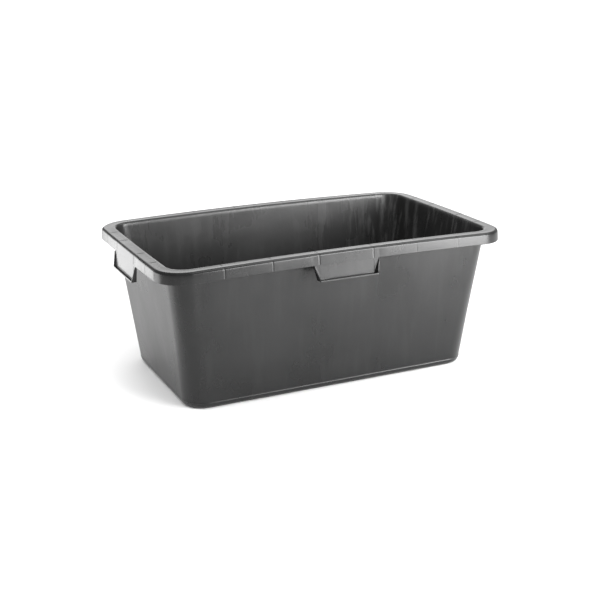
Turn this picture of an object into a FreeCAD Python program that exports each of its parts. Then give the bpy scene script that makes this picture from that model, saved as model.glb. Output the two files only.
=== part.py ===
import FreeCAD, Part
import math
import os
import Sketcher
from FreeCAD import Placement, Rotation, Vector

# Rectangular mortar mixing tub, injection moulded in one piece from polyethylene.
# Frame: origin on the ground under the middle of the tub, +X along the long side, +Z up, millimetres.
# The moulding is divided into its named features: floor, walls, wall corners, rim, rim corners,
# grips, grip lips and under-rim ribs. Neighbours share a face and never overlap.

SIZES = (
    ("rim_length", 780, "outline of the rim along X at its top edge"),
    ("rim_width", 482, "outline of the rim along Y at its top edge"),
    ("tub_height", 312, "ground to the top of the rim"),
    ("rim_corner", 61, "outer corner radius of the rim at its top edge"),
    ("rim_edge", 4, "rounding of the outer top edge of the rim"),
    ("skirt_depth", 24, "top of the rim to the lower edge of the skirt"),
    ("skirt_flare", 2.5, "how far the skirt leans out over its depth"),
    ("plate", 3, "thickness of the rim, the skirt and the grips"),
    ("mouth_length", 729, "outside of the end walls, at the height of the rim"),
    ("mouth_width", 433, "outside of the long walls, at the height of the rim"),
    ("mouth_corner", 41, "outer corner radius of the walls at the rim"),
    ("base_length", 657, "outside of the end walls on the ground, before the heel is rounded"),
    ("base_width", 368, "outside of the long walls on the ground, before the heel is rounded"),
    ("base_corner", 47, "outer corner radius of the walls on the ground"),
    ("heel_radius", 12, "outer radius between the walls and the floor"),
    ("heel_width", 15, "strip of floor that belongs to each wall"),
    ("wall", 3, "thickness of the walls"),
    ("floor", 4, "thickness of the floor"),
    ("grip_width", 146, "face of a grip where it leaves the skirt"),
    ("grip_foot", 122, "face of a grip at its foot"),
    ("long_grip_drop", 28, "height of the grip faces on the long sides"),
    ("long_grip_lean", 4, "how far the grips of the long sides lean out"),
    ("long_lip_out", 10, "how far the lip stands out at the foot of the grips on the long sides"),
    ("short_grip_drop", 31, "height of the grip faces on the short sides"),
    ("short_grip_lean", 3, "how far the grips of the short sides lean out"),
    ("short_lip_out", 5, "how far the lip stands out at the foot of the grips on the short sides"),
    ("lip_start", 1, "width of a grip's lip where it leaves the skirt"),
    ("lip_side", 5.5, "how far the lip spreads to each side at the foot of a grip"),
    ("lip_thickness", 3, "thickness of the lip at the foot of a grip"),
    ("rib_thickness", 2.5, "ribs under the rim"),
    ("rib_depth", 18, "height of the ribs below the land"),
    ("long_rib_first", 61.5, "middle of a long side to its first rib"),
    ("long_rib_pitch", 101.5, "rib to rib along a long side"),
    ("long_rib_pairs", 3, "pairs of ribs on a long side"),
    ("short_rib_first", 60, "middle of a short side to its first rib"),
    ("short_rib_pitch", 77, "rib to rib along a short side"),
    ("short_rib_pairs", 2, "pairs of ribs on a short side"),
)

# Which way each side and each corner lies from the middle of the tub, along X and along Y.
SIDES = {"front": (0, -1), "right": (1, 0), "rear": (0, 1), "left": (-1, 0)}
CORNERS = {"front_left": (-1, -1), "front_right": (1, -1), "rear_right": (1, 1), "rear_left": (-1, 1)}

FAR = "Sizes.rim_length"
GROUND = "0"
RIM_TOP = "Sizes.tub_height"
LAND_UNDERSIDE = "Sizes.tub_height - Sizes.plate"
SKIRT_FOOT = "Sizes.tub_height - Sizes.skirt_depth"

doc = FreeCAD.newDocument("mortar_mixing_tub")
sheet = doc.addObject("Spreadsheet::Sheet", "Sizes")
nodes = []


# ---------------------------------------------------------------- sizes and bindings

def fill_sheet():
    for row, (alias, value, meaning) in enumerate(SIZES, start=1):
        sheet.set(f"A{row}", meaning)
        sheet.set(f"B{row}", str(value))
        sheet.setAlias(f"B{row}", alias)
    doc.recompute()


def value_of(expression):
    result = sheet.evalExpression(expression)
    return float(getattr(result, "Value", result))


def keep(thing, label):
    """Make a finished object a sub-part; its label names its file."""
    thing.Label = label
    nodes.append(thing)


# ---------------------------------------------------------------- sketches

def new_sketch(body, name, height):
    """A sketch parallel to the ground, at a height given by an expression."""
    sketch = body.newObject("Sketcher::SketchObject", name)
    ground = next(plane for plane in body.Origin.OriginFeatures if plane.Role == "XY_Plane")
    sketch.AttachmentSupport = [(ground, "")]
    sketch.MapMode = "FlatFace"
    sketch.setExpression("AttachmentOffset.Base.z", height)
    return sketch


def drive(sketch, constraint, title, expression):
    index = sketch.addConstraint(constraint)
    sketch.renameConstraint(index, title)
    sketch.setExpression("Constraints." + title, expression)


def rounded_rectangle(body, name, height, length, width, radius):
    """A rounded rectangle centred on the origin; all sizes are expressions."""
    sketch = new_sketch(body, name, height)
    corner = value_of(radius)
    half_x = value_of(length) / 2
    half_y = value_of(width) / 2
    flat_x = half_x - corner
    flat_y = half_y - corner
    lines = (
        (Vector(-flat_x, -half_y), Vector(flat_x, -half_y)),
        (Vector(half_x, -flat_y), Vector(half_x, flat_y)),
        (Vector(flat_x, half_y), Vector(-flat_x, half_y)),
        (Vector(-half_x, flat_y), Vector(-half_x, -flat_y)),
    )
    centres = (
        Vector(flat_x, -flat_y),
        Vector(flat_x, flat_y),
        Vector(-flat_x, flat_y),
        Vector(-flat_x, -flat_y),
    )
    quarter = math.pi / 2
    for start, end in lines:
        sketch.addGeometry(Part.LineSegment(start, end), False)
    for turn, centre in enumerate(centres):
        circle = Part.Circle(centre, Vector(0, 0, 1), corner)
        sketch.addGeometry(Part.ArcOfCircle(circle, (turn - 1) * quarter, turn * quarter), False)
    for line in range(4):
        arc = line + 4
        sketch.addConstraint(Sketcher.Constraint("Tangent", line, 2, arc, 1))
        sketch.addConstraint(Sketcher.Constraint("Tangent", arc, 2, (line + 1) % 4, 1))
        sketch.addConstraint(Sketcher.Constraint(("Horizontal", "Vertical")[line % 2], line))
    for arc in (5, 6, 7):
        sketch.addConstraint(Sketcher.Constraint("Equal", 4, arc))
    sketch.addConstraint(Sketcher.Constraint("Symmetric", 7, 3, 5, 3, -1, 1))
    drive(sketch, Sketcher.Constraint("DistanceX", 3, 1, 1, 1, 2 * half_x), "across_x", length)
    drive(sketch, Sketcher.Constraint("DistanceY", 0, 1, 2, 1, 2 * half_y), "across_y", width)
    drive(sketch, Sketcher.Constraint("Radius", 4, corner), "corner", radius)
    return sketch


def grip_slot(body, name, height, width, reach):
    """The section of a grip face: a strip one plate thick, whose outer edge is at Y = -reach."""
    sketch = new_sketch(body, name, height)
    half_x = value_of(width) / 2
    outer = -value_of(reach)
    inner = outer + value_of("Sizes.plate")
    points = (
        Vector(-half_x, outer),
        Vector(half_x, outer),
        Vector(half_x, inner),
        Vector(-half_x, inner),
    )
    for line in range(4):
        sketch.addGeometry(Part.LineSegment(points[line], points[(line + 1) % 4]), False)
    for line in range(4):
        sketch.addConstraint(Sketcher.Constraint("Coincident", line, 2, (line + 1) % 4, 1))
    for line, course in ((1, "Vertical"), (2, "Horizontal"), (3, "Vertical")):
        sketch.addConstraint(Sketcher.Constraint(course, line))
    sketch.addConstraint(Sketcher.Constraint("Symmetric", 0, 1, 0, 2, -2))
    drive(sketch, Sketcher.Constraint("DistanceX", 0, 1, 0, 2, 2 * half_x), "across_x", width)
    drive(sketch, Sketcher.Constraint("DistanceY", 0, 2, 1, 2, inner - outer), "thickness", "Sizes.plate")
    drive(sketch, Sketcher.Constraint("DistanceY", 0, 1, -1, 1, -outer), "reach", reach)
    return sketch


# ---------------------------------------------------------------- solids

def add_loft(body, upper, lower):
    doc.recompute()
    loft = body.newObject("PartDesign::AdditiveLoft", body.Name + "_loft")
    loft.Profile = upper
    loft.Sections = [lower]
    loft.Ruled = True
    doc.recompute()


def drafted_form(name, upper, lower):
    """A drafted block between two rounded rectangles, each given as height, length, width, radius."""
    body = doc.addObject("PartDesign::Body", name)
    upper_outline = rounded_rectangle(body, name + "_upper", *upper)
    lower_outline = rounded_rectangle(body, name + "_lower", *lower)
    add_loft(body, upper_outline, lower_outline)
    return body


def round_level_edges(body, height, radius):
    """Round every edge of a form that lies level at the given height."""
    base = body.Tip
    level = value_of(height)
    names = []
    for number, edge in enumerate(base.Shape.Edges, start=1):
        ends = (edge.BoundBox.ZMin, edge.BoundBox.ZMax)
        if all(abs(end - level) < 0.01 for end in ends):
            names.append(f"Edge{number}")
    fillet = body.newObject("PartDesign::Fillet", body.Name + "_rounding")
    fillet.Base = (base, names)
    fillet.setExpression("Radius", radius)
    doc.recompute()


def span(direction, inner):
    """The stretch of an axis on one side of the middle, beyond inner; direction 0 is the stretch between."""
    if direction == 0:
        return f"-({inner})", inner
    if direction < 0:
        return f"-({FAR})", f"-({inner})"
    return inner, FAR


def block(name, along_x, along_y, along_z):
    """A box between pairs of expressions."""
    box = doc.addObject("Part::Box", name)
    stretches = zip(("Length", "Width", "Height"), "xyz", (along_x, along_y, along_z))
    for side, axis, (low, high) in stretches:
        box.setExpression(side, f"({high}) - ({low})")
        box.setExpression("Placement.Base." + axis, low)
    return box


def boolean(kind, name, base, tool):
    result = doc.addObject("Part::" + kind, name)
    result.Base = base
    result.Tool = tool
    return result


def fuse(name, shapes):
    result = doc.addObject("Part::MultiFuse", name)
    result.Shapes = shapes
    return result


def piece_of(shape, label, tool):
    keep(boolean("Common", label, shape, tool), label)


# ---------------------------------------------------------------- the shapes the mould gives

def make_outside():
    """The drafted outside of the walls, with the heel rounded."""
    upper = (RIM_TOP, "Sizes.mouth_length", "Sizes.mouth_width", "Sizes.mouth_corner")
    lower = (GROUND, "Sizes.base_length", "Sizes.base_width", "Sizes.base_corner")
    form = drafted_form("outside", upper, lower)
    round_level_edges(form, GROUND, "Sizes.heel_radius")
    return form


def make_inside():
    """The space in the tub, from the top of the floor to the top of the rim."""
    rise = "Sizes.floor / Sizes.tub_height"
    upper = (
        RIM_TOP,
        "Sizes.mouth_length - 2 * Sizes.wall",
        "Sizes.mouth_width - 2 * Sizes.wall",
        "Sizes.mouth_corner - Sizes.wall",
    )
    lower = (
        "Sizes.floor",
        f"Sizes.base_length + (Sizes.mouth_length - Sizes.base_length) * {rise} - 2 * Sizes.wall",
        f"Sizes.base_width + (Sizes.mouth_width - Sizes.base_width) * {rise} - 2 * Sizes.wall",
        "Sizes.base_corner - Sizes.wall",
    )
    form = drafted_form("inside", upper, lower)
    round_level_edges(form, "Sizes.floor", "Sizes.heel_radius - Sizes.wall")
    return form


def make_rim_block():
    """The outside of the rim and skirt, with the top edge rounded."""
    upper = (RIM_TOP, "Sizes.rim_length", "Sizes.rim_width", "Sizes.rim_corner")
    lower = (
        SKIRT_FOOT,
        "Sizes.rim_length + 2 * Sizes.skirt_flare",
        "Sizes.rim_width + 2 * Sizes.skirt_flare",
        "Sizes.rim_corner + Sizes.skirt_flare",
    )
    form = drafted_form("rim_block", upper, lower)
    round_level_edges(form, RIM_TOP, "Sizes.rim_edge")
    return form


def make_channel_block():
    """The space under the land and inside the skirt, walls included."""
    lean = "Sizes.skirt_flare * Sizes.plate / Sizes.skirt_depth - Sizes.plate"
    upper = (
        LAND_UNDERSIDE,
        f"Sizes.rim_length + 2 * ({lean})",
        f"Sizes.rim_width + 2 * ({lean})",
        f"Sizes.rim_corner + {lean}",
    )
    lower = (
        SKIRT_FOOT,
        "Sizes.rim_length + 2 * (Sizes.skirt_flare - Sizes.plate)",
        "Sizes.rim_width + 2 * (Sizes.skirt_flare - Sizes.plate)",
        "Sizes.rim_corner + Sizes.skirt_flare - Sizes.plate",
    )
    return drafted_form("channel_block", upper, lower)


# ---------------------------------------------------------------- sub-parts

def make_tub(shell):
    """The floor, the four walls with their heels, and the four wall corners."""
    flat_x = "Sizes.base_length / 2 - Sizes.base_corner"
    flat_y = "Sizes.base_width / 2 - Sizes.base_corner"
    floor_x = "Sizes.base_length / 2 - Sizes.heel_width"
    floor_y = "Sizes.base_width / 2 - Sizes.heel_width"
    height = (GROUND, LAND_UNDERSIDE)
    lengthwise = block("floor_lengthwise", span(0, floor_x), span(0, flat_y), height)
    crosswise = block("floor_crosswise", span(0, flat_x), span(0, floor_y), height)
    piece_of(shell, "floor_panel", fuse("floor_extent", [lengthwise, crosswise]))
    for side, (way_x, way_y) in SIDES.items():
        along_x = span(way_x, floor_x if way_x else flat_x)
        along_y = span(way_y, floor_y if way_y else flat_y)
        piece_of(shell, side + "_wall", block(side + "_wall_extent", along_x, along_y, height))
    for corner, (way_x, way_y) in CORNERS.items():
        extent = block(corner + "_extent", span(way_x, flat_x), span(way_y, flat_y), height)
        piece_of(shell, corner + "_corner", extent)


def make_rim(rim):
    """The land and skirt: four straight lengths and four corners."""
    flat_x = "Sizes.rim_length / 2 - Sizes.rim_corner"
    flat_y = "Sizes.rim_width / 2 - Sizes.rim_corner"
    height = (SKIRT_FOOT, RIM_TOP)
    for place, (way_x, way_y) in {**SIDES, **CORNERS}.items():
        extent = block(place + "_rim_extent", span(way_x, flat_x), span(way_y, flat_y), height)
        label = place + ("_rim_corner" if place in CORNERS else "_rim")
        piece_of(rim, label, extent)


def make_ribs(channel):
    """Cross ribs in the channel between the skirt and the wall, in pairs about the middle of each side."""
    height = (f"{LAND_UNDERSIDE} - Sizes.rib_depth", LAND_UNDERSIDE)
    half = "Sizes.rib_thickness / 2"
    for side, (way_x, way_y) in SIDES.items():
        row = "long_rib" if way_x == 0 else "short_rib"
        half_base = "Sizes.base_width / 2" if way_x == 0 else "Sizes.base_length / 2"
        across = span(way_x or way_y, half_base)
        ribs = []
        for pair in range(round(value_of(f"Sizes.{row}_pairs"))):
            for sign in "-+":
                centre = f"{sign}(Sizes.{row}_first + {pair} * Sizes.{row}_pitch)"
                along = (f"{centre} - {half}", f"{centre} + {half}")
                spans = (along, across) if way_x == 0 else (across, along)
                ribs.append(block(f"{side}_rib_extent", *spans, height))
        piece_of(channel, side + "_rim_ribs", fuse(side + "_rib_extents", ribs))


def ruled_solid(rings):
    """A solid whose sides are ruled from each ring of points to the next."""
    faces = [Part.Face(Part.makePolygon(ring + ring[:1])) for ring in (rings[0], rings[-1])]
    for near, far in zip(rings, rings[1:]):
        for corner in range(len(near)):
            following = (corner + 1) % len(near)
            near_edge = Part.makeLine(near[corner], near[following])
            far_edge = Part.makeLine(far[corner], far[following])
            faces.append(Part.makeRuledSurface(near_edge, far_edge))
    shell = Part.Shell(faces)
    shell.sewShape()
    solid = Part.Solid(shell)
    return solid if solid.Volume > 0 else solid.reversed()


def lip_ring(edge, aside, out, thickness, back_y):
    """One section of a lip: face edge, brim, under the brim, back edge and the rear of the face."""
    brim = edge + Vector(aside, -out, 0)
    back_edge = Vector(brim.x, back_y, edge.z - thickness.z)
    rear = edge + Vector(0, value_of("Sizes.plate"), 0)
    return [edge, brim, brim + Vector(0, thickness.y, -thickness.z), back_edge, rear]


def grip_lip(label, outer_y, lean, drop, out):
    """The lip round a grip: down one side, along the foot and up again, mitred at the corners.

    It stands out from the face, and behind the face it reaches back as far as the skirt does.
    """
    start = value_of("Sizes.lip_start")
    skirt_foot = value_of(SKIRT_FOOT)
    back_y = outer_y + value_of("Sizes.plate")
    top_edge = Vector(value_of("Sizes.grip_width") / 2, outer_y, skirt_foot)
    foot_edge = Vector(value_of("Sizes.grip_foot") / 2, outer_y - lean, skirt_foot - drop)
    top = lip_ring(top_edge, start, start, Vector(0, start, 0), back_y)
    below = Vector(0, 0, value_of("Sizes.lip_thickness"))
    foot = lip_ring(foot_edge, value_of("Sizes.lip_side"), out, below, back_y)
    mirrored = [[Vector(-point.x, point.y, point.z) for point in ring] for ring in (foot, top)]
    lip = doc.addObject("Part::Feature", label)
    lip.Shape = ruled_solid([top, foot] + mirrored)
    return lip


def make_grips():
    """A grip in the middle of each side: a leaning face below the skirt, with a lip round it."""
    for quarter, (side, (way_x, _)) in enumerate(SIDES.items()):
        half_rim = "Sizes.rim_width / 2" if way_x == 0 else "Sizes.rim_length / 2"
        row = "long" if way_x == 0 else "short"
        reach = f"{half_rim} + Sizes.skirt_flare"
        turned = Placement(Vector(0, 0, 0), Rotation(Vector(0, 0, 1), 90 * quarter))
        face = doc.addObject("PartDesign::Body", side + "_grip")
        upper = grip_slot(face, side + "_grip_top", SKIRT_FOOT, "Sizes.grip_width", reach)
        foot = f"{SKIRT_FOOT} - Sizes.{row}_grip_drop"
        foot_reach = f"{reach} + Sizes.{row}_grip_lean"
        lower = grip_slot(face, side + "_grip_foot", foot, "Sizes.grip_foot", foot_reach)
        add_loft(face, upper, lower)
        face.Placement = turned
        keep(face, side + "_grip")
        lip_sizes = [value_of(f"Sizes.{row}_{alias}") for alias in ("grip_lean", "grip_drop", "lip_out")]
        lip = grip_lip(side + "_grip_lip", -value_of(reach), *lip_sizes)
        lip.Placement = turned
        keep(lip, side + "_grip_lip")


# ---------------------------------------------------------------- build, check and write

def build():
    fill_sheet()
    outside = make_outside()
    inside = make_inside()
    rim_block = make_rim_block()
    channel_block = make_channel_block()
    shell = boolean("Cut", "shell", outside, inside)
    hollow = fuse("rim_hollow", [channel_block, inside])
    rim = boolean("Cut", "rim", rim_block, hollow)
    channel = boolean("Cut", "channel", channel_block, outside)
    make_tub(shell)
    make_rim(rim)
    make_ribs(channel)
    make_grips()
    doc.recompute()


def check():
    for thing in doc.Objects:
        if {"Invalid", "Error"} & set(thing.State):
            raise RuntimeError(f"{thing.Name} failed: {thing.getStatusString()}")
    for node in nodes:
        if node.Shape.isNull() or not node.Shape.isValid() or node.Shape.Volume <= 0:
            raise RuntimeError(f"{node.Label} has no valid solid")


def write():
    os.makedirs("parts", exist_ok=True)
    for node in nodes:
        node.Shape.exportStep(f"parts/{node.Label}.step")
        box = node.Shape.BoundBox
        solids = f"{len(node.Shape.Solids)} solids {node.Shape.Volume / 1000:9.2f} cm3"
        low = f"{box.XMin:8.1f} {box.YMin:8.1f} {box.ZMin:8.1f}"
        high = f"{box.XMax:8.1f} {box.YMax:8.1f} {box.ZMax:8.1f}"
        print(f"{node.Label:24} {solids} {low} {high}")
    print(f"{len(nodes)} nodes, {sum(node.Shape.Volume for node in nodes) / 1000:.1f} cm3")


build()
check()
write()
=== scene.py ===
import math

import bmesh
import bpy
from mathutils import Matrix, Vector, noise


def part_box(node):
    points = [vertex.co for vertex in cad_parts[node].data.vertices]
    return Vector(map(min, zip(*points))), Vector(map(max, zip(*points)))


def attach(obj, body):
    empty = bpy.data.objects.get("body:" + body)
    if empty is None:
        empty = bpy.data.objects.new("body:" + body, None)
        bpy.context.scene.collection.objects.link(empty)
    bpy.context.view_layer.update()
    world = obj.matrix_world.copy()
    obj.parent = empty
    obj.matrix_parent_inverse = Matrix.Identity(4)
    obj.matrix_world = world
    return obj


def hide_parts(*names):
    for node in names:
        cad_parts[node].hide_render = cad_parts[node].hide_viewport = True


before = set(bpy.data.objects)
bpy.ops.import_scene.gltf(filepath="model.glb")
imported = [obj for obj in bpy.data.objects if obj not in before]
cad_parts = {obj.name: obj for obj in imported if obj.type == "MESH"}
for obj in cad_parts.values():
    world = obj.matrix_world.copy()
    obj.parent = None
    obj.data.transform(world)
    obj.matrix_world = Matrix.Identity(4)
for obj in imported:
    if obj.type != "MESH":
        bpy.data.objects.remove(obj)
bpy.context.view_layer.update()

MM = 0.001
LEFT_OR_RIGHT = (-1, 1)
SIDES = ("front", "right", "rear", "left")
CORNERS = ("front_left", "front_right", "rear_right", "rear_left")


# ---------------------------------------------------------------- sizes

# Those that a box in the frame gives.
rim_low, rim_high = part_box("front_rim")
end_low, end_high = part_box("right_rim")
floor_low, floor_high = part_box("floor_panel")
long_wall_low, long_wall_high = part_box("front_wall")
short_wall_low, short_wall_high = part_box("right_wall")

RIM_TOP = rim_high.z
SKIRT_FOOT = rim_low.z
LAND_UNDERSIDE = long_wall_high.z
FLOOR_TOP = floor_high.z
PLATE = RIM_TOP - LAND_UNDERSIDE
SKIRT_X = end_high.x
SKIRT_Y = -rim_low.y
GRIP_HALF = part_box("front_grip")[1].x

# Those that are set: thickness, the skirt's flare, and the corners' radii.
WALL = 3.0 * MM
FLARE = 2.5 * MM
HEEL_WIDTH = 15.0 * MM
MOUTH_CORNER = 41.0 * MM

# Those that follow from the others.
RIM_X = SKIRT_X - FLARE
RIM_Y = SKIRT_Y - FLARE
RIM_CORNER = RIM_X - rim_high.x
BASE_X = floor_high.x + HEEL_WIDTH
BASE_Y = floor_high.y + HEEL_WIDTH
BASE_CORNER = BASE_X - long_wall_high.x
SLOPE_X = (short_wall_high.x - BASE_X) / LAND_UNDERSIDE
SLOPE_Y = (-long_wall_low.y - BASE_Y) / LAND_UNDERSIDE
SLOPE_CORNER = (MOUTH_CORNER - BASE_CORNER) / RIM_TOP
LEAN = math.atan((SLOPE_X + SLOPE_Y) / 2)

# Radii of the rounds in the section, and how quickly the skirt's flare dies away.
HEEL = 12.0 * MM
INNER_HEEL = HEEL - WALL
RIM_EDGE = 5.0 * MM
MOUTH_EDGE = 4.2 * MM
FOOT_EDGE = 1.0 * MM
SEAM_EDGE = 0.08 * MM
ROOT_FILLET = 1.5 * MM
LAND_HOLLOW = 0.35 * MM
SKIRT_CURVE = 0.38

# Middle of a side to each of its ribs and the depth of the sink mark over it, in mm.
LONG_RIBS = (
    (-264.5, 0.36), (-163, 0.38), (-61.5, 0.45), (61.5, 0.4), (163, 0.16), (264.5, 0.14),
)
SHORT_RIBS = ((-137, 0.35), (-60, 0.4), (60, 0.4), (137, 0.35))
LONG_MARKS = [place * MM for place, _ in LONG_RIBS]
SHORT_MARKS = [place * MM for place, _ in SHORT_RIBS]
# The grip, ribs and marks of the front sit a little to the left of the middle.
DRIFT = {"front": -2.9 * MM, "right": 0.0, "rear": 0.0, "left": 0.0}
DRIFT_REACH = 280 * MM
# The way inward from each side. At the corners the marks and the grips have no say.
INWARD = {
    "front": Vector((0, 1, 0)),
    "right": Vector((-1, 0, 0)),
    "rear": Vector((0, -1, 0)),
    "left": Vector((1, 0, 0)),
    "corner": Vector((0, 0, 0)),
}


# ---------------------------------------------------------------- how the moulding departs from true

# How far the sides bow out, as (all the way up, more at the rim), in mm.
END_BOW = (1.7, 2.3)
SIDE_BOW = (0.9, 0.5)
# How the rim rises: everywhere, in the middle of the long sides and of the ends, in mm.
CROWN, SIDE_CROWN, END_CROWN = -1.6, 6.4, 1.5
BROAD_RIPPLE = 0.9
NARROW_RIPPLE = 0.22


def settle(point):
    """Bow the sides outward and crown the rim, as the moulding does when it cools."""
    rise = min(1.0, max(0.0, point.z / RIM_TOP))
    along_x = 1 - min(1.0, (point.x / RIM_X) ** 2)
    along_y = 1 - min(1.0, (point.y / RIM_Y) ** 2)
    share_x = point.x / RIM_X
    share_y = point.y / RIM_Y
    bow_x = (END_BOW[0] + END_BOW[1] * rise ** 3) * MM * along_y * share_x
    bow_y = (SIDE_BOW[0] + SIDE_BOW[1] * rise ** 3) * MM * along_x * share_y
    lift = CROWN + SIDE_CROWN * along_x * share_y ** 2 + END_CROWN * along_y * share_x ** 2
    wave = ripple(point) * rise_and_fall(rise)
    return Vector((
        point.x + bow_x + wave * share_x,
        point.y + bow_y + wave * share_y,
        point.z + lift * MM * rise ** 2,
    ))


def ripple(point):
    """Slow, shallow unevenness of the walls."""
    broad = noise.noise(Vector((point.x * 5.5, point.y * 5.5, point.z * 3.0 + 4.0)))
    narrow = noise.noise(Vector((point.x * 17, point.y * 17, point.z * 6.0 + 9.0)))
    return (BROAD_RIPPLE * broad + NARROW_RIPPLE * narrow) * MM


def rise_and_fall(rise):
    """Walls ripple most at mid height; the heel and the rim hold them straight."""
    return math.sin(math.pi * min(1.0, 0.12 + 0.8 * rise))


RIBS = {"front": LONG_RIBS, "rear": LONG_RIBS, "left": SHORT_RIBS, "right": SHORT_RIBS}


def dent(side, place, half_width):
    """Depth of the sink marks over the ribs, at a place along a side."""
    return sum(
        depth * MM * math.exp(-((place - mark * MM) / half_width) ** 2)
        for mark, depth in RIBS.get(side, ())
    )


# ---------------------------------------------------------------- columns round the tub

def spread(low, high, step):
    count = max(1, round((high - low) / step))
    return [low + (high - low) * index / count for index in range(count + 1)]


# Columns near a sink mark, and near each side edge of a grip, in mm.
MARK_OFFSETS = (-7, -5, -3.6, -2.6, -1.8, -1.1, -0.5, 0, 0.5, 1.1, 1.8, 2.6, 3.6, 5, 7)
NOTCH_OFFSETS = (-2.5, -1, -0.2, 0.6, 1.6, 3)


LEAST_GAP = 0.4


def column_places(reach, marks, extra, step):
    """Places along a straight side: even, and close together near the marks."""
    near_marks = {round(mark + offset * MM, 6) for mark in marks for offset in MARK_OFFSETS}
    close = sorted(near_marks | set(extra))
    places = list(close)
    for place in spread(-reach, reach, step):
        if all(abs(place - other) > LEAST_GAP * step for other in close):
            places.append(place)
    return sorted(places)


LONG_FIXED = 275 * MM
SHORT_FIXED = 128 * MM
COLUMN_STEP = 12 * MM
ARC_STEPS = 14
NOTCHES = [
    sign * (GRIP_HALF + offset * MM) for sign in LEFT_OR_RIGHT for offset in NOTCH_OFFSETS
]
INNER_MARKS = [mark for mark in SHORT_MARKS if abs(mark) < SHORT_FIXED]
LONG_COLUMNS = column_places(LONG_FIXED, LONG_MARKS, NOTCHES, COLUMN_STEP)
SHORT_COLUMNS = column_places(SHORT_FIXED, INNER_MARKS, NOTCHES, COLUMN_STEP)
# From the last fixed column of a short side to its corner, close together over the outer rib.
OUTER_SHARES = (0.06, 0.1, 0.13, 0.15, 0.163, 0.173, 0.183, 0.196, 0.216, 0.25, 0.33, 0.5, 0.75)


def ring(half_x, half_y, corner, height):
    """One level ring as (point, side, place) rows, counterclockwise from the front left."""
    flat_x = half_x - corner
    flat_y = half_y - corner
    long_places = [-flat_x] + LONG_COLUMNS + [flat_x]
    outer = [SHORT_FIXED + share * (flat_y - SHORT_FIXED) for share in OUTER_SHARES] + [flat_y]
    short_places = [-place for place in reversed(outer)] + SHORT_COLUMNS + outer
    rows = []
    turns = (
        (long_places, lambda s: (s, -half_y), (flat_x, -flat_y), -0.5),
        (short_places, lambda s: (half_x, s), (flat_x, flat_y), 0.0),
        (long_places, lambda s: (-s, half_y), (-flat_x, flat_y), 0.5),
        (short_places, lambda s: (-half_x, -s), (-flat_x, -flat_y), 1.0),
    )
    for side, (places, place_at, centre, start) in zip(SIDES, turns):
        sign = 1 if side in ("front", "right") else -1
        for place in places:
            drifts = places is long_places and abs(place) < DRIFT_REACH
            drift = DRIFT[side] if drifts else 0.0
            rows.append((Vector((*place_at(place + drift), height)), side, sign * place))
        for step in range(1, ARC_STEPS):
            angle = (start + 0.5 * step / ARC_STEPS) * math.pi
            x = centre[0] + corner * math.cos(angle)
            y = centre[1] + corner * math.sin(angle)
            rows.append((Vector((x, y, height)), "corner", 0.0))
    return rows


def wall_ring(inset, height, scale=1.0):
    """A ring a given distance inside the outer face of the walls."""
    half_x = BASE_X + SLOPE_X * height - inset
    half_y = BASE_Y + SLOPE_Y * height - inset
    corner = BASE_CORNER + SLOPE_CORNER * height - inset
    rows = ring(half_x, half_y, corner, height)
    if scale == 1.0:
        return rows
    return [(Vector((p.x * scale, p.y * scale, p.z)), side, place) for p, side, place in rows]


def flare_at(height):
    """How far the skirt stands out; it curves over and hangs nearly straight down at its foot."""
    depth = (RIM_TOP - height) / (RIM_TOP - SKIRT_FOOT)
    return FLARE * (1 - math.exp(-depth / SKIRT_CURVE)) / (1 - math.exp(-1 / SKIRT_CURVE))


def rim_ring(inset, height):
    """A ring a given distance inside the outer face of the skirt."""
    flare = flare_at(height)
    straight = FLARE * (RIM_TOP - height) / (RIM_TOP - SKIRT_FOOT)
    rows = ring(RIM_X + flare - inset, RIM_Y + flare - inset, RIM_CORNER + flare - inset, height)
    return [
        (point + INWARD[side] * ((flare - straight) * above_grip(side, place)), side, place)
        for point, side, place in rows
    ]


def beside_grip(side, place, reach, width):
    """1 within a grip's width, falling to 0 over a given width that ends at a reach beside it."""
    if side == "corner":
        return 0.0
    return min(1.0, max(0.0, (GRIP_HALF + reach - abs(place)) / width))


def above_grip(side, place):
    """1 over a grip, where the skirt runs straight on into its face, easing to 0 beside it."""
    fade = beside_grip(side, place, 9 * MM, 8 * MM)
    return fade * fade * (3 - 2 * fade)


# ---------------------------------------------------------------- the section of the shell

def arc(count, start, end):
    return [start + (end - start) * index / count for index in range(count + 1)]


# Where the rows lie: shares of the flat underside and floor, shares across the land,
# heights in mm inside the channel and up the skirt, and (lowest, highest, step) up the walls.
FLAT_SCALES = (0.02, 0.1, 0.2, 0.3, 0.42, 0.54, 0.66, 0.77, 0.86, 0.93, 0.97)
LAND_SHARES = (0.12, 0.3, 0.5, 0.7, 0.88)
CHANNEL_HEIGHTS = (302, 297, 292)
SKIRT_HEIGHTS = (290.5, 293.5, 297, 300.5, 304, 306.5)
OUTER_WALL = (22 * MM, 300 * MM, 15 * MM)
INNER_WALL = (16 * MM, 302 * MM, 14 * MM)
HEEL_STEPS = 8


def heel_centre(radius):
    """How far inside the wall's foot the centre of a heel's round lies."""
    return radius / math.cos(LEAN) - radius * math.tan(LEAN)


def underside_rows():
    for scale in FLAT_SCALES:
        yield wall_ring(heel_centre(HEEL), 0.0, scale)


def heel_rows(radius, inset, foot):
    """The rounded heel, from the ground or floor up to the wall."""
    for angle in arc(HEEL_STEPS, -math.pi / 2, -LEAN):
        height = foot + radius * (1 + math.sin(angle))
        out = heel_centre(radius) - radius * math.cos(angle)
        drift = (height - foot) * math.tan(LEAN)
        yield wall_ring(inset + out + drift, height)


# The raised line round the foot of the walls: height and how far it stands out, in mm.
FOOT_LINE = (
    (11.6, 0), (12.3, 0.05), (12.8, 0.4), (13.3, 0.65), (13.8, 0.5), (14.4, 0.12), (15.2, 0),
)


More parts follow.
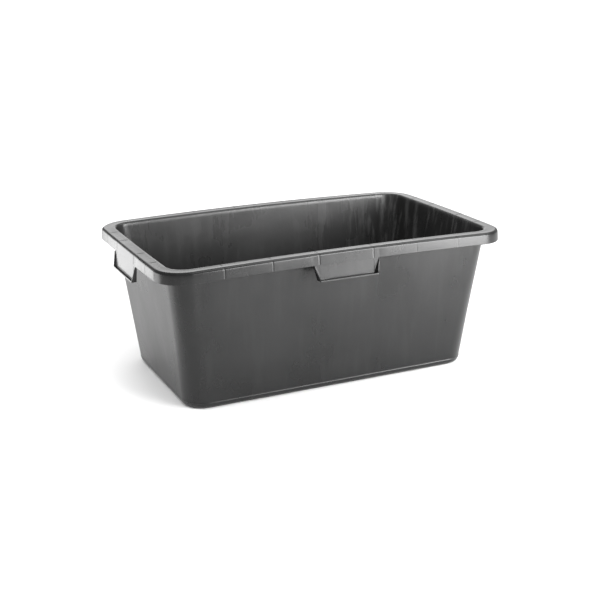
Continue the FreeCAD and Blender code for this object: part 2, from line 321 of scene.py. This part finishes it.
def outer_wall_rows():
    for height, proud in FOOT_LINE:
        yield wall_ring(-proud * MM, height * MM)
    for height in spread(*OUTER_WALL):
        yield wall_ring(0, height)


def root_rows():
    """The fillet from the wall into the underside of the land."""
    for angle in arc(4, 0, math.pi / 2):
        rise = ROOT_FILLET * math.sin(angle)
        out = ROOT_FILLET * (1 - math.cos(angle))
        yield wall_ring(-out, LAND_UNDERSIDE - ROOT_FILLET + rise)


def channel_rows():
    inner = wall_ring(-ROOT_FILLET, LAND_UNDERSIDE)
    outer = rim_ring(PLATE + ROOT_FILLET, LAND_UNDERSIDE)
    for share in (0.33, 0.66):
        yield [
            (near.lerp(far, share), side, place)
            for (near, side, place), (far, _, _) in zip(inner, outer)
        ]
    for angle in arc(4, 0, math.pi / 2):
        drop = ROOT_FILLET * (1 - math.cos(angle))
        yield rim_ring(PLATE + ROOT_FILLET * (1 - math.sin(angle)), LAND_UNDERSIDE - drop)
    for height in CHANNEL_HEIGHTS:
        yield rim_ring(PLATE, height * MM)


def foot_rows():
    """The lower edge of the skirt: rounded, but square where a grip carries on below it."""
    for angle in arc(4, math.pi, 1.5 * math.pi):
        yield edge_row(angle, far=True)
    for angle in arc(4, 1.5 * math.pi, 2 * math.pi):
        yield edge_row(angle, far=False)
    yield edge_row(2 * math.pi, far=False, above=0.3 * MM)


def edge_row(angle, far, above=0.0):
    """One row of the skirt's lower edge; far is its inner round, otherwise its outer one."""
    outer = rim_ring(0, SKIRT_FOOT)
    inner = rim_ring(PLATE, SKIRT_FOOT)
    rows = []
    for (outside, side, place), (inside, _, _) in zip(outer, inner):
        squareness = beside_grip(side, place, 0.6 * MM, 0.8 * MM)
        radius = FOOT_EDGE + (SEAM_EDGE - FOOT_EDGE) * squareness
        across = (inside - outside).normalized()
        middle = (inside - across * radius) if far else (outside + across * radius)
        point = middle - across * (radius * math.cos(angle))
        point.z = SKIRT_FOOT + radius + radius * math.sin(angle) + above
        rows.append((point, side, place))
    return rows


def skirt_rows():
    for height in SKIRT_HEIGHTS:
        yield rim_ring(0, height * MM)


def rim_edge_rows():
    for angle in arc(8, 0, math.pi / 2):
        inset = RIM_EDGE * (1 - math.cos(angle))
        yield rim_ring(inset, RIM_TOP - RIM_EDGE * (1 - math.sin(angle)))


def land_rows():
    """The flat top of the rim, very slightly hollow."""
    outer = rim_ring(RIM_EDGE, RIM_TOP)
    inner = wall_ring(WALL - MOUTH_EDGE, RIM_TOP)
    for share in LAND_SHARES:
        rows = []
        for (near, side, place), (far, _, _) in zip(outer, inner):
            point = near.lerp(far, share)
            point.z -= LAND_HOLLOW * math.sin(math.pi * share)
            rows.append((point, side, place))
        yield rows


def mouth_rows():
    for angle in arc(8, math.pi / 2, LEAN):
        out = MOUTH_EDGE * (1 - math.cos(angle))
        yield wall_ring(WALL - out, RIM_TOP - MOUTH_EDGE * (1 - math.sin(angle)))


def inner_wall_rows():
    for height in reversed(spread(*INNER_WALL)):
        yield wall_ring(WALL, height)


def inner_floor_rows():
    for scale in reversed(FLAT_SCALES):
        yield wall_ring(WALL + heel_centre(INNER_HEEL), FLOOR_TOP, scale)


def dented(rows, share, half_width, direction):
    """One row of points with the sink marks over the ribs, sunk down, in or out."""
    result = []
    for point, side, place in rows:
        sunk = share * dent(side, place, half_width)
        if direction == "down":
            point = point - Vector((0, 0, sunk))
        elif sunk:
            point = point + INWARD[side] * (sunk if direction == "in" else -sunk)
        result.append((point, side, place))
    return result


def shell_rows():
    """All rows of the shell, from the middle of the underside to the middle of the floor inside."""
    yield from underside_rows()
    yield from heel_rows(HEEL, 0.0, 0.0)
    yield from outer_wall_rows()
    yield from root_rows()
    yield from channel_rows()
    yield from foot_rows()
    for rows in skirt_rows():
        yield dented(rows, 1.0, 1.4 * MM, "in")
    for rows in rim_edge_rows():
        yield dented(rows, 1.0, 1.5 * MM, "in")
    for rows in land_rows():
        yield dented(rows, 1.2, 1.7 * MM, "down")
    for rows in mouth_rows():
        yield dented(rows, 0.4, 1.7 * MM, "out")
    yield from inner_wall_rows()
    yield from reversed(list(heel_rows(INNER_HEEL, WALL, FLOOR_TOP)))
    yield from inner_floor_rows()


# ---------------------------------------------------------------- meshes

def finish_piece(name, mesh, material, nodes):
    """An object of the visual model in place of the nodes that it shows."""
    obj = bpy.data.objects.new(name, mesh)
    bpy.context.scene.collection.objects.link(obj)
    mesh.materials.append(material)
    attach(obj, "root")
    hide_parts(*nodes)


def add_tube(form, rings):
    """A skin through rings of equally many points, capped at both ends."""
    grid = [[form.verts.new(point) for point in row] for row in rings]
    count = len(grid[0])
    for near, far in zip(grid, grid[1:]):
        for index in range(count):
            following = (index + 1) % count
            form.faces.new((near[index], near[following], far[following], far[index]))
    form.faces.new(list(reversed(grid[0])))
    form.faces.new(grid[-1])


def finish_mesh(form, name, sharp_angle=None):
    """A mesh with its faces outward, smooth up to the sharp angle, or flat without one."""
    bmesh.ops.recalc_face_normals(form, faces=form.faces)
    for face in form.faces:
        face.smooth = sharp_angle is not None
    mesh = bpy.data.meshes.new(name)
    form.to_mesh(mesh)
    form.free()
    if sharp_angle is not None:
        mesh.set_sharp_from_angle(angle=math.radians(sharp_angle))
    return mesh


def make_shell(material):
    form = bmesh.new()
    add_tube(form, [[settle(point) for point, _, _ in rows] for rows in shell_rows()])
    nodes = ["floor_panel"]
    nodes += [side + "_wall" for side in SIDES]
    nodes += [side + "_rim" for side in SIDES]
    nodes += [corner + "_corner" for corner in CORNERS]
    nodes += [corner + "_rim_corner" for corner in CORNERS]
    finish_piece("tub_shell", finish_mesh(form, "tub_shell", 40), material, nodes)


# ---------------------------------------------------------------- grips

GRIP_FOOT_HALF = 61.0 * MM
GRIP_BEND = 2.0 * MM
# The lip: its width where it starts, how far it stands aside at the foot, and its bevel.
LIP_START = 1.4 * MM
LIP_SIDE = 5.5 * MM
LIP_EDGE = 2.2 * MM
FACE_SCALES = (0.0, 0.25, 0.5, 0.75, 0.9, 0.965)
# The two raised lines down a grip: where they run, and their section as (aside, proud) in mm.
LINE_PLACE = 61.5 * MM
LINE_SHARES = (0.0, 0.08, 0.25, 0.5, 0.75, 0.86, 0.9)
LINE_SECTION = (
    (-0.8, -0.5), (-0.7, 0.0), (-0.35, 0.22), (0.0, 0.3), (0.35, 0.22), (0.7, 0.0), (0.8, -0.5),
)
LINE_END = 0.3


def curve(start, corner, end, share):
    """A point on the round that takes the place of a corner."""
    return start * (1 - share) ** 2 + corner * (2 * share * (1 - share)) + end * share ** 2


def grip_path(drop, side_steps=10, bend_steps=6, foot_steps=22):
    """Points round a grip's face as (x, depth below the skirt), with its foot corners rounded."""
    corner = Vector((-GRIP_FOOT_HALF, drop))
    start = Vector((-GRIP_HALF, 0.0))
    middle = Vector((0.0, drop))
    before = corner - (corner - start).normalized() * GRIP_BEND
    after = corner + Vector((GRIP_BEND, 0.0))
    half = [start.lerp(before, index / side_steps) for index in range(side_steps)]
    half += [curve(before, corner, after, index / bend_steps) for index in range(bend_steps)]
    half += [after.lerp(middle, index / foot_steps) for index in range(foot_steps)]
    return half + [middle] + [Vector((-point.x, point.y)) for point in reversed(half)]


# A round takes up at most this share of an edge, however short the edge is.
LONGEST_SHARE = 0.45
TINY = 1e-9


def rounded_corner(before, corner, after, reach, steps):
    """Points of a round where two edges of a section meet."""
    start, end = (
        corner + (far - corner) * min(LONGEST_SHARE, reach / max(TINY, (far - corner).length))
        for far in (before, after)
    )
    return [curve(start, corner, end, index / steps) for index in range(steps + 1)]


def lip_section(inner, edge, brim, under, back, rear):
    """The points from a grip's face, out round its lip and back to the rear of the face."""
    points = rounded_corner(inner, edge, brim, 1.2 * MM, 4)
    points += [edge.lerp(brim, share) for share in (0.4, 0.65)]
    points += rounded_corner(edge, brim, under, 0.6 * MM, 4)
    points += rounded_corner(brim, under, back, 0.6 * MM, 3)
    points += [under.lerp(back, share) for share in (0.3, 0.6)]
    points += rounded_corner(under, back, rear, 0.8 * MM, 3)
    return points + [back.lerp(rear, 0.5), rear]


def make_grip(side, turn, material):
    """A grip: a leaning face with a lip round it, drawn for the front and turned to its side."""
    face_low, face_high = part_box("front_grip" if turn % 2 == 0 else "right_grip")
    lip_low, lip_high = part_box("front_grip_lip" if turn % 2 == 0 else "right_grip_lip")
    if turn % 2 == 0:
        reach, lean, lip_out = SKIRT_Y, -face_low.y - SKIRT_Y, face_low.y - lip_low.y
    else:
        reach, lean, lip_out = SKIRT_X, face_high.x - SKIRT_X, lip_high.x - face_high.x
    drop = SKIRT_FOOT - face_low.z
    thickness = face_low.z - lip_low.z
    path = grip_path(drop)
    spin = Matrix.Rotation(turn * math.pi / 2, 4, "Z")
    drift = Vector((DRIFT[side], 0, 0))

    def placed(point):
        return settle(spin @ point + drift)

    def on_face(x, depth, back=0.0):
        return Vector((x, -(reach + lean * depth / drop) + back, SKIRT_FOOT - depth))

    def section(point):
        grown = min(1.0, point.y / drop)
        half = GRIP_HALF + (GRIP_FOOT_HALF - GRIP_HALF) * grown
        aside = (LIP_START + (LIP_SIDE - LIP_START) * grown) * max(-1.0, min(1.0, point.x / half))
        edge = on_face(point.x, point.y)
        brim = edge + Vector((aside, -LIP_START - (lip_out - LIP_START) * grown, 0))
        under = brim + Vector((0, -0.5 * MM * grown, -thickness * grown))
        back = Vector((brim.x, -reach + PLATE, edge.z - thickness * grown))
        brim.x -= (1 - grown ** 12) * max(-LIP_EDGE, min(LIP_EDGE, 0.7 * aside))
        inner = on_face(point.x * 0.98, point.y * 0.98)
        return lip_section(inner, edge, brim, under, back, on_face(point.x, point.y, PLATE))

    rings = [[on_face(point.x * scale, point.y * scale) for point in path] for scale in FACE_SCALES]
    rings += [list(ring) for ring in zip(*(section(point) for point in path))]
    for scale in reversed(FACE_SCALES):
        rings.append([on_face(point.x * scale, point.y * scale, PLATE) for point in path])

    form = bmesh.new()
    grid = [[form.verts.new(placed(point)) for point in row] for row in rings]
    for near, far in zip(grid, grid[1:]):
        for index in range(len(path) - 1):
            form.faces.new((near[index], near[index + 1], far[index + 1], far[index]))
    form.faces.new([row[0] for row in grid])
    form.faces.new([row[-1] for row in reversed(grid)])
    bmesh.ops.remove_doubles(form, verts=form.verts, dist=0.02 * MM)
    for sign in LEFT_OR_RIGHT:
        course = [on_face(sign * LINE_PLACE, drop * share) for share in LINE_SHARES]
        add_line(form, [placed(point) for point in course], turn)
    mesh = finish_mesh(form, side + "_grip_piece", 30)
    finish_piece(side + "_grip_moulding", mesh, material, [side + "_grip", side + "_grip_lip"])


def add_line(form, course, turn):
    """The raised line that runs down a grip's face below the rib behind the skirt."""
    spin = Matrix.Rotation(turn * math.pi / 2, 3, "Z")
    out = spin @ Vector((0, -1, 0))
    across = spin @ Vector((1, 0, 0))
    rings = []
    for index, point in enumerate(course):
        taper = LINE_END if index in (0, len(course) - 1) else 1.0
        rings.append([
            point + across * (aside * MM) + out * (min(proud, proud * taper) * MM)
            for aside, proud in LINE_SECTION
        ])
    add_tube(form, rings)


# ---------------------------------------------------------------- ribs under the rim

RIB_SINK = 0.8 * MM
RIB_SCOOP = 2.5 * MM


def make_ribs(side, turn, material):
    """The cross ribs of one side: drafted webs whose ends sink into the skirt and the wall."""
    long_side = turn % 2 == 0
    reach = SKIRT_Y if long_side else SKIRT_X
    base = BASE_Y if long_side else BASE_X
    slope = SLOPE_Y if long_side else SLOPE_X
    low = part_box(side + "_rim_ribs")[0].z
    levels = (
        (LAND_UNDERSIDE + RIB_SINK, 1.5),
        (LAND_UNDERSIDE, 1.45),
        (LAND_UNDERSIDE - 1.5 * MM, 1.25),
        (low + 1.2 * MM, 1.0),
        (low + 0.35 * MM, 0.85),
        (low, 0.5),
    )
    spin = Matrix.Rotation(turn * math.pi / 2, 4, "Z")
    form = bmesh.new()
    for mark in (LONG_MARKS if long_side else SHORT_MARKS):
        place = mark + DRIFT[side]
        rings = []
        for height, half in levels:
            inner = -(base + slope * height) + RIB_SINK
            outer = -(reach - FLARE + flare_at(height)) + PLATE - RIB_SINK
            scoop = RIB_SCOOP if height <= low else 0.0
            thick = half * MM
            rings.append([
                Vector((place - thick, outer, height)),
                Vector((place + thick, outer, height)),
                Vector((place + thick, (outer + inner) / 2, height + scoop)),
                Vector((place + thick, inner, height)),
                Vector((place - thick, inner, height)),
                Vector((place - thick, (outer + inner) / 2, height + scoop)),
            ])
        add_tube(form, [[settle(spin @ point) for point in row] for row in rings])
    finish_piece(side + "_ribs", finish_mesh(form, side + "_ribs"), material, [side + "_rim_ribs"])


# ---------------------------------------------------------------- material

DARK = (0.0045, 0.0046, 0.0047, 1)
LIGHT = (0.0095, 0.0096, 0.0097, 1)
# The lighter tone: surface bloom on streaks, speckle and scuffs, and painted light on the inner
# faces.
BLOOM_AND_PAINTED_LIGHT = (0.030, 0.030, 0.0298, 1)
DRIED = (0.085, 0.085, 0.0845, 1)
SCRATCHED = (0.12, 0.12, 0.119, 1)
# The colour sockets of a Mix node: its two inputs and its output.
MIX_FIRST, MIX_SECOND, MIX_RESULT = 6, 7, 2


def plastic():
    """Black recycled polyethylene: satin, mottled by the melt's flow, finely grained, scuffed, with
    painted light lightening the inner faces.
    """
    material = bpy.data.materials.new("tub_plastic")
    material.use_nodes = True
    tree = material.node_tree
    tree.nodes.clear()
    link = tree.links.new

    def node(kind, **settings):
        made = tree.nodes.new("ShaderNode" + kind)
        for key, value in settings.items():
            setattr(made, key, value)
        return made

    output = node("OutputMaterial")
    shader = node("BsdfPrincipled")
    link(shader.outputs["BSDF"], output.inputs["Surface"])
    shader.inputs["IOR"].default_value = 1.51
    shader.inputs["Specular IOR Level"].default_value = 0.36
    place = node("TexCoord")

    def pattern(stretch, scale, detail, roughness, distortion=0.0):
        mapping = node("Mapping")
        mapping.inputs["Scale"].default_value = stretch
        link(place.outputs["Object"], mapping.inputs["Vector"])
        texture = node("TexNoise")
        texture.inputs["Scale"].default_value = scale
        texture.inputs["Detail"].default_value = detail
        texture.inputs["Roughness"].default_value = roughness
        texture.inputs["Distortion"].default_value = distortion
        link(mapping.outputs["Vector"], texture.inputs["Vector"])
        return texture.outputs["Fac"]

    def remap(value, low, high, to_low, to_high):
        made = node("MapRange")
        made.inputs["From Min"].default_value = low
        made.inputs["From Max"].default_value = high
        made.inputs["To Min"].default_value = to_low
        made.inputs["To Max"].default_value = to_high
        link(value, made.inputs["Value"])
        return made.outputs["Result"]

    def feed(socket, value):
        if isinstance(value, bpy.types.NodeSocket):
            link(value, socket)
        else:
            socket.default_value = value

    def mix(factor, first, second):
        made = node("Mix", data_type="RGBA")
        feed(made.inputs["Factor"], factor)
        feed(made.inputs[MIX_FIRST], first)
        feed(made.inputs[MIX_SECOND], second)
        return made.outputs[MIX_RESULT]

    def calculate(operation, first, second):
        made = node("Math", operation=operation)
        feed(made.inputs[0], first)
        feed(made.inputs[1], second)
        return made.outputs["Value"]

    def add(first, second):
        return calculate("ADD", first, second)

    def times(first, second):
        return calculate("MULTIPLY", first, second)

    def split(vector):
        made = node("SeparateXYZ")
        link(vector, made.inputs[0])
        return made.outputs

    clouds = pattern((1, 1, 0.9), scale=8, detail=4, roughness=0.5)
    streaks = pattern((1, 1, 0.1), scale=55, detail=4, roughness=0.55)
    speckle = pattern((1, 1, 1), scale=420, detail=3, roughness=0.6)
    grain = pattern((1, 1, 1), scale=900, detail=2, roughness=0.5)
    scuffs = pattern((1, 1, 0.9), scale=38, detail=8, roughness=0.72, distortion=1.4)

    # Inner faces are those whose normal points back to the tub's middle.
    surface = node("NewGeometry")
    level = node("VectorMath", operation="MULTIPLY")
    level.inputs[1].default_value = (1, 1, 0)
    link(surface.outputs["Position"], level.inputs[0])
    facing = node("VectorMath", operation="DOT_PRODUCT")
    link(level.outputs["Vector"], facing.inputs[0])
    link(surface.outputs["Normal"], facing.inputs[1])
    inside = remap(facing.outputs["Value"], -0.08, -0.16, 0, 1)

    worn = times(remap(streaks, 0.5, 0.72, 0, 1), add(times(inside, 0.35), 0.15))
    colour = mix(remap(clouds, 0.3, 0.7, 0, 1), DARK, LIGHT)
    # Painted light: the inner faces are mixed part way to the lighter tone, standing in for the
    # light that falls into the tub.
    colour = mix(times(inside, 0.65), colour, BLOOM_AND_PAINTED_LIGHT)
    colour = mix(worn, colour, BLOOM_AND_PAINTED_LIGHT)
    colour = mix(remap(speckle, 0.6, 0.8, 0, 0.3), colour, BLOOM_AND_PAINTED_LIGHT)
    colour = mix(remap(scuffs, 0.6, 0.85, 0, 0.2), colour, BLOOM_AND_PAINTED_LIGHT)

    # Dried runs inside, at the right end.
    where = split(surface.outputs["Position"])
    runs = pattern((1, 1, 0.07), scale=75, detail=3, roughness=0.6)
    dried = times(inside, remap(where["X"], 0.13, 0.32, 0, 0.9))
    dried = times(dried, remap(runs, 0.5, 0.68, 0, 1))
    colour = mix(dried, colour, DRIED)

    # Scratches on top of the rim.
    upward = split(surface.outputs["Normal"])["Z"]
    land = times(remap(where["Z"], 0.306, 0.309, 0, 1), remap(upward, 0.7, 0.95, 0, 1))
    scratches = pattern((0.25, 1, 1), scale=130, detail=5, roughness=0.65, distortion=0.8)
    rubbed = times(land, remap(scratches, 0.52, 0.75, 0.05, 0.7))
    rubbed = times(rubbed, remap(clouds, 0.42, 0.62, 0.15, 1.0))
    colour = mix(rubbed, colour, SCRATCHED)
    link(colour, shader.inputs["Base Color"])

    rough = add(remap(clouds, 0.3, 0.7, 0.25, 0.32), times(worn, 0.1))
    rough = add(rough, remap(scuffs, 0.6, 0.85, 0.0, 0.04))
    link(rough, shader.inputs["Roughness"])

    height = add(add(times(worn, 0.4), times(grain, 0.08)), times(clouds, 2.6))
    bump = node("Bump")
    bump.inputs["Strength"].default_value = 0.5
    bump.inputs["Distance"].default_value = 0.0008
    link(height, bump.inputs["Height"])
    link(bump.outputs["Normal"], shader.inputs["Normal"])
    return material


def floor_material():
    material = bpy.data.materials.new("floor_pale")
    material.use_nodes = True
    shader = material.node_tree.nodes["Principled BSDF"]
    shader.inputs["Base Color"].default_value = (0.9, 0.9, 0.9, 1)
    shader.inputs["Roughness"].default_value = 0.9
    shader.inputs["Specular IOR Level"].default_value = 0.1
    return material


# ---------------------------------------------------------------- studio

FLOOR_HALF = 200.0
FLOOR_DROP = 0.5 * MM
# Name, azimuth in degrees, distance, height, size, radiance, and whether it lights matt surfaces.
SOFTBOXES = (
    ("front_right_near", 40, 1.4, 0.36, (0.5, 0.7), 15.5, True),
    ("front_right_far", 30, 3.0, 1.2, (1.6, 1.2), 11.5, True),
    ("front_near", 20, 1.4, 0.36, (0.5, 0.7), 3.9, True),
    ("back_left", 229, 0.95, 0.22, (0.5, 0.38), 3.7, False),
    ("front_left", 12, 1.4, 0.62, (0.5, 0.4), 6.2, True),
    ("left_near", 265, 0.78, 0.2, (0.26, 0.3), 4.2, True),
    ("above_right", 70, 0.95, 2.0, (1.7, 1.7), 2.6, False),
    ("back_right", 157, 3.0, 0.9, (2.4, 1.8), 1.6, True),
)
# Softboxes aim at the tub's middle, no higher than this.
AIM_HEIGHT = 0.36
OVERHEAD_IRRADIANCE = 3.0
OVERHEAD_WIDTH = math.radians(80)
WORLD_RADIANCE = 0.42


def make_floor():
    mesh = bpy.data.meshes.new("studio_floor")
    signs = ((-1, -1), (1, -1), (1, 1), (-1, 1))
    corners = [(x * FLOOR_HALF, y * FLOOR_HALF, -FLOOR_DROP) for x, y in signs]
    mesh.from_pydata(corners, [], [(0, 1, 2, 3)])
    floor = bpy.data.objects.new("studio_floor", mesh)
    bpy.context.scene.collection.objects.link(floor)
    mesh.materials.append(floor_material())


def make_softbox(name, azimuth, distance, height, size, radiance, lights_matt):
    """A soft light facing the tub. Azimuth 0 is in front of the long side and 90 to the right."""
    angle = math.radians(azimuth)
    place = Vector((distance * math.sin(angle), -distance * math.cos(angle), height))
    light = bpy.data.lights.new(name, "AREA")
    light.shape = "RECTANGLE"
    light.size, light.size_y = size
    light.energy = math.pi * radiance * size[0] * size[1]
    box = bpy.data.objects.new(name, light)
    bpy.context.scene.collection.objects.link(box)
    box.location = place
    box.rotation_mode = "QUATERNION"
    aim = Vector((0, 0, min(height, AIM_HEIGHT)))
    box.rotation_quaternion = (aim - place).to_track_quat("-Z", "Y")
    box.visible_camera = False
    box.visible_diffuse = lights_matt


def make_overhead():
    """A very soft light from above, which evens out the floor."""
    light = bpy.data.lights.new("overhead", "SUN")
    light.energy = OVERHEAD_IRRADIANCE
    light.angle = OVERHEAD_WIDTH
    lamp = bpy.data.objects.new("overhead", light)
    bpy.context.scene.collection.objects.link(lamp)
    lamp.visible_glossy = False


def make_world():
    world = bpy.data.worlds.new("studio")
    bpy.context.scene.world = world
    world.use_nodes = True
    background = world.node_tree.nodes["Background"]
    background.inputs["Color"].default_value = (1, 1, 1, 1)
    background.inputs["Strength"].default_value = WORLD_RADIANCE


CAMERA_PLACE = (-1.0047, -2.1928, 0.9044)
CAMERA_AZIMUTH = math.radians(-24.617)
CAMERA_ELEVATION = math.radians(16.949)
CAMERA_ROLL = math.radians(-0.641)


def make_camera():
    """The camera at the photo's angle: in front, a little to the left, looking down."""
    azimuth, elevation, roll = CAMERA_AZIMUTH, CAMERA_ELEVATION, CAMERA_ROLL
    forward = Vector((
        -math.sin(azimuth) * math.cos(elevation),
        math.cos(azimuth) * math.cos(elevation),
        -math.sin(elevation),
    ))
    level = forward.cross(Vector((0, 0, 1))).normalized()
    upright = level.cross(forward)
    right = level * math.cos(roll) + upright * math.sin(roll)
    up = upright * math.cos(roll) - level * math.sin(roll)
    camera = bpy.data.objects.new("camera", bpy.data.cameras.new("camera"))
    bpy.context.scene.collection.objects.link(camera)
    rotation = Matrix((right, up, -forward)).transposed()
    camera.matrix_world = Matrix.Translation(CAMERA_PLACE) @ rotation.to_4x4()
    camera.data.sensor_width = 36
    camera.data.lens = 67.286
    camera.data.shift_x = 0.0025
    camera.data.shift_y = -0.0196
    camera.data.clip_end = 500
    bpy.context.scene.camera = camera


make_camera()
tub_material = plastic()
make_shell(tub_material)
for turn, side in enumerate(SIDES):
    make_grip(side, turn, tub_material)
    make_ribs(side, turn, tub_material)
make_floor()
make_world()
make_overhead()
for softbox in SOFTBOXES:
    make_softbox(*softbox)
bpy.context.scene.view_settings.view_transform = "Standard"
